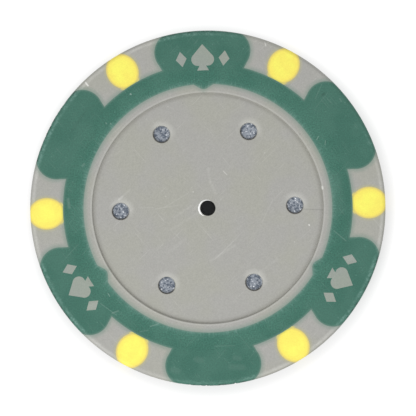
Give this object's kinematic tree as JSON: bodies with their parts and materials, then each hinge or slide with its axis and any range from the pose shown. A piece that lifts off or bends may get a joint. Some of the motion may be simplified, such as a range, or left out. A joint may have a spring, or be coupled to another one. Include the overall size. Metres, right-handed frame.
{
  "type": "poker chip",
  "caption": "Round moulded casino chip: a grey body over a steel slug, with a lobed green ring inlaid in both faces, yellow edge spots, and a shallow label recess with its label off.",
  "frame": {"origin": "centre of the lower face, in the plane that the chip rests on", "axes": "+Z along the chip's axis from the lower face to the upper one, +Y through the middle of a lobe that carries card pips"},
  "size_m": [0.039, 0.039, 0.0033],
  "materials": {
    "slug_steel": "rough zinc-plated steel, mottled",
    "grey_plastic": "satin moulded grey, lightly scratched",
    "green_plastic": "satin moulded green, speckled with wear",
    "yellow_plastic": "satin moulded bright yellow"
  },
  "bodies": {
    "root": {"steel_slug": "slug_steel", "grey_body": "grey_plastic", "green_inlay": "green_plastic", "yellow_spot_1": "yellow_plastic", "yellow_spot_2": "yellow_plastic", "yellow_spot_3": "yellow_plastic", "yellow_spot_4": "yellow_plastic", "yellow_spot_5": "yellow_plastic", "yellow_spot_6": "yellow_plastic"}
  },
  "joints": []
}
